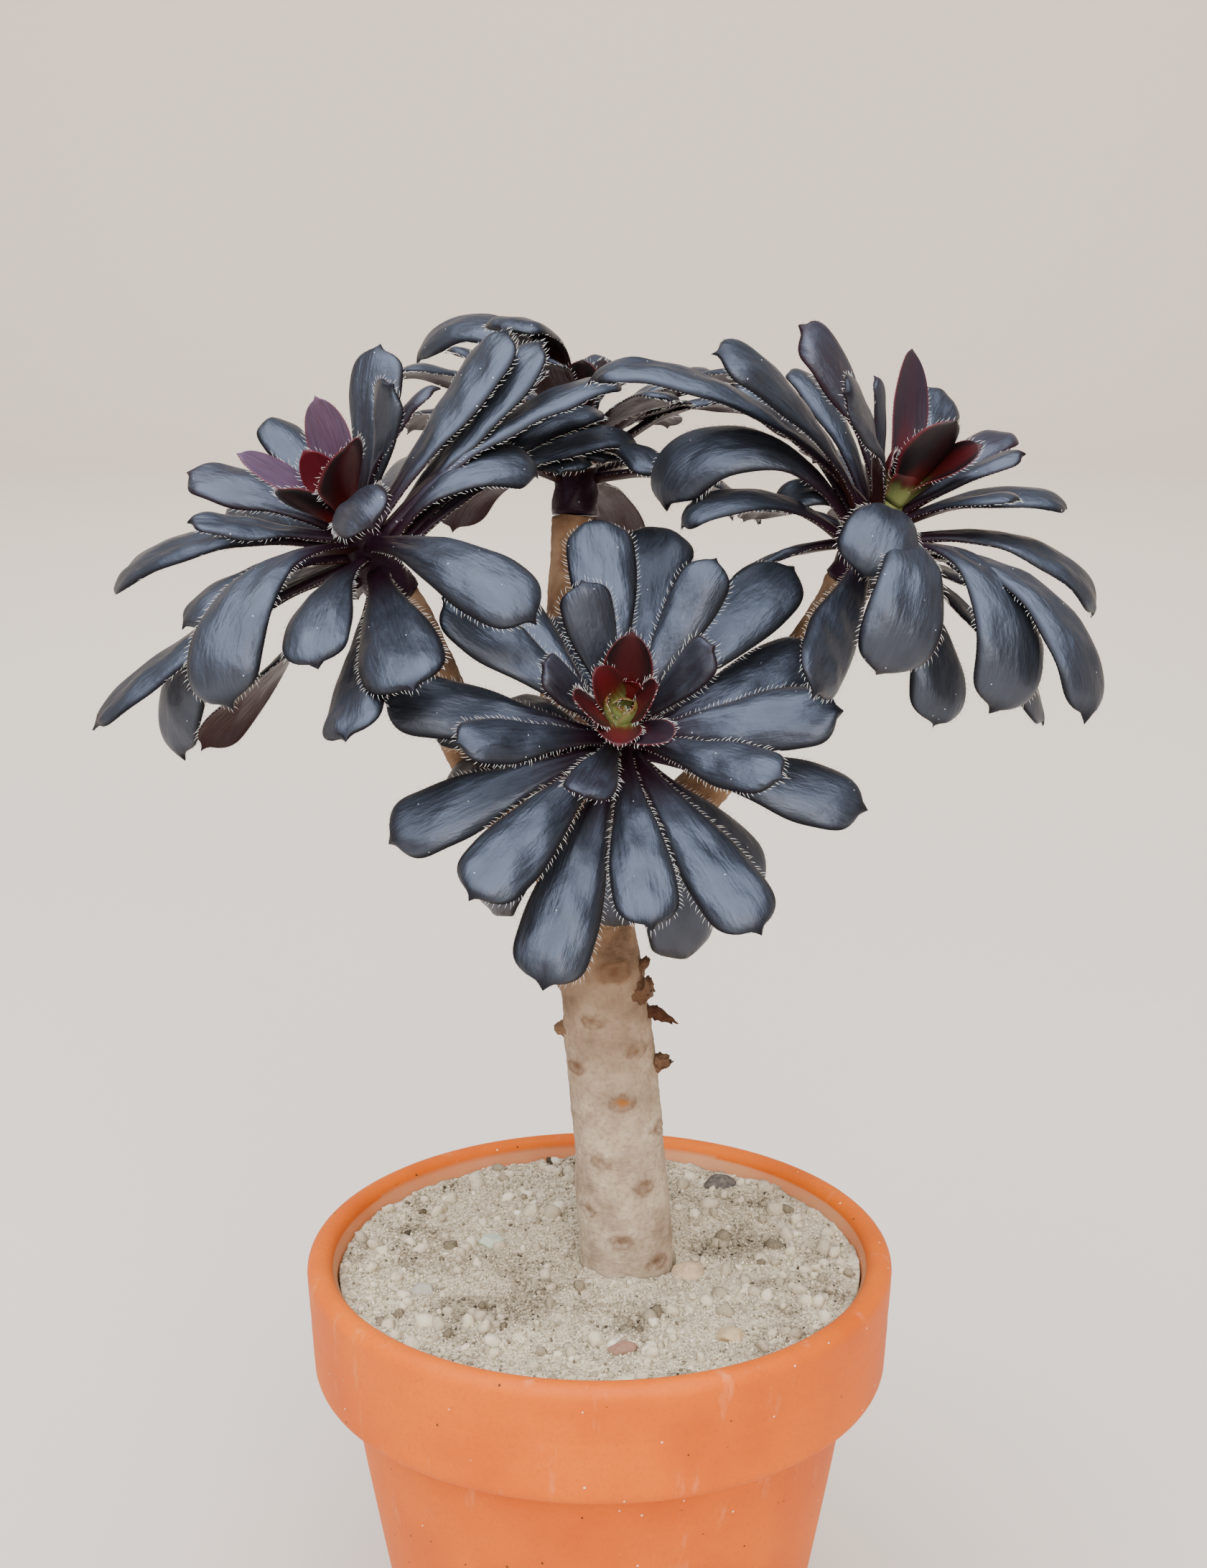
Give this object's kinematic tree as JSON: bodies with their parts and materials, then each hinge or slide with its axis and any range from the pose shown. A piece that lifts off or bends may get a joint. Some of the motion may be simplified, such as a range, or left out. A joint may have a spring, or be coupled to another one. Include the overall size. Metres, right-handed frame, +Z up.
{
  "type": "potted aeonium",
  "caption": "Branching succulent with rosettes of near-black leaves and red hearts on a bare woody trunk, in a round terracotta pot of gritty soil.",
  "frame": {"origin": "on the pot's axis, on the surface that the pot stands on", "axes": "+Z up along the pot's axis; the lowest and nearest head of leaves looks towards -Y; +X is to the right as seen from there"},
  "size_m": [0.2372, 0.1832, 0.3678],
  "materials": {
    "terracotta": "satin",
    "gritty_soil": "matte",
    "pebble": "matte",
    "bark": "matte",
    "dark_leaf": "satin",
    "heart_leaf": "satin"
  },
  "bodies": {
    "root": {"pot": "terracotta", "soil": "gritty_soil", "pebble_pale": "pebble", "pebble_buff": "pebble", "pebble_red": "pebble", "pebble_dark": "pebble", "pebble_grey": "pebble", "pebble_tan": "pebble", "trunk": "bark", "rosette_front": "dark_leaf", "rosette_left": "dark_leaf", "rosette_right": "dark_leaf", "rosette_back": "dark_leaf", "heart_front": "heart_leaf", "heart_left": "heart_leaf", "heart_right": "heart_leaf", "heart_back": "heart_leaf"}
  },
  "joints": []
}
